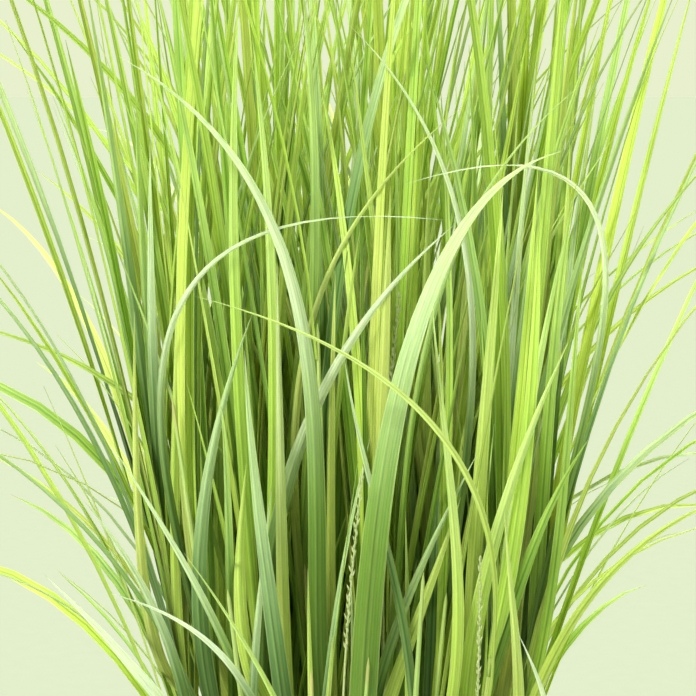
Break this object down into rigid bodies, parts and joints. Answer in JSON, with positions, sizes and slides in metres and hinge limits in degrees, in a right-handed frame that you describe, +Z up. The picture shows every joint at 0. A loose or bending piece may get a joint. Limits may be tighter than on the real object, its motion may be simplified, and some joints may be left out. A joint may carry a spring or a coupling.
{
  "type": "potted upright switchgrass",
  "caption": "Clump of upright ornamental grass with long narrow blades, growing in a plain round nursery pot.",
  "frame": {"origin": "centre of the pot's flat underside", "axes": "+Z up along the stems, +X to the right and +Y away from the viewer in the picture's view"},
  "size_m": [0.5415, 0.5515, 0.8911],
  "materials": {
    "pot": "moulded plastic with a fine matt grain, slightly scuffed at the rim and foot",
    "soil": "damp composted bark mix, rough and crumbly",
    "foliage": "living grass blades, satin, with fine lengthwise veins and a paler midrib",
    "flowers": "dry pale green to straw spikelets, matt"
  },
  "bodies": {
    "root": {"pot": "pot", "soil": "soil", "stem_01": "foliage", "stem_02": "foliage", "stem_03": "foliage", "stem_04": "foliage", "stem_05": "foliage", "stem_06": "foliage", "stem_07": "foliage", "stem_08": "foliage", "stem_09": "foliage", "stem_10": "foliage", "stem_11": "foliage", "stem_12": "foliage", "stem_13": "foliage", "stem_14": "foliage", "stem_15": "foliage", "stem_16": "foliage", "stem_17": "foliage", "stem_18": "foliage", "stem_19": "foliage", "stem_20": "foliage", "stem_21": "foliage", "stem_22": "foliage", "stem_23": "foliage", "stem_24": "foliage", "stem_25": "foliage", "stem_26": "foliage", "stem_27": "foliage", "stem_28": "foliage", "stem_29": "foliage", "stem_30": "foliage", "stem_31": "foliage", "stem_32": "foliage", "stem_33": "foliage", "stem_34": "foliage", "stem_35": "foliage", "stem_36": "foliage", "stem_37": "foliage", "stem_38": "foliage", "stem_39": "foliage", "stem_40": "foliage", "stem_41": "foliage", "stem_42": "foliage", "stem_43": "foliage", "stem_44": "foliage", "stem_45": "foliage", "stem_46": "foliage", "stem_47": "foliage", "stem_48": "foliage", "stem_49": "foliage", "stem_50": "foliage", "flower_spike_1": "flowers", "flower_spike_2": "flowers", "flower_spike_3": "flowers"}
  },
  "joints": []
}
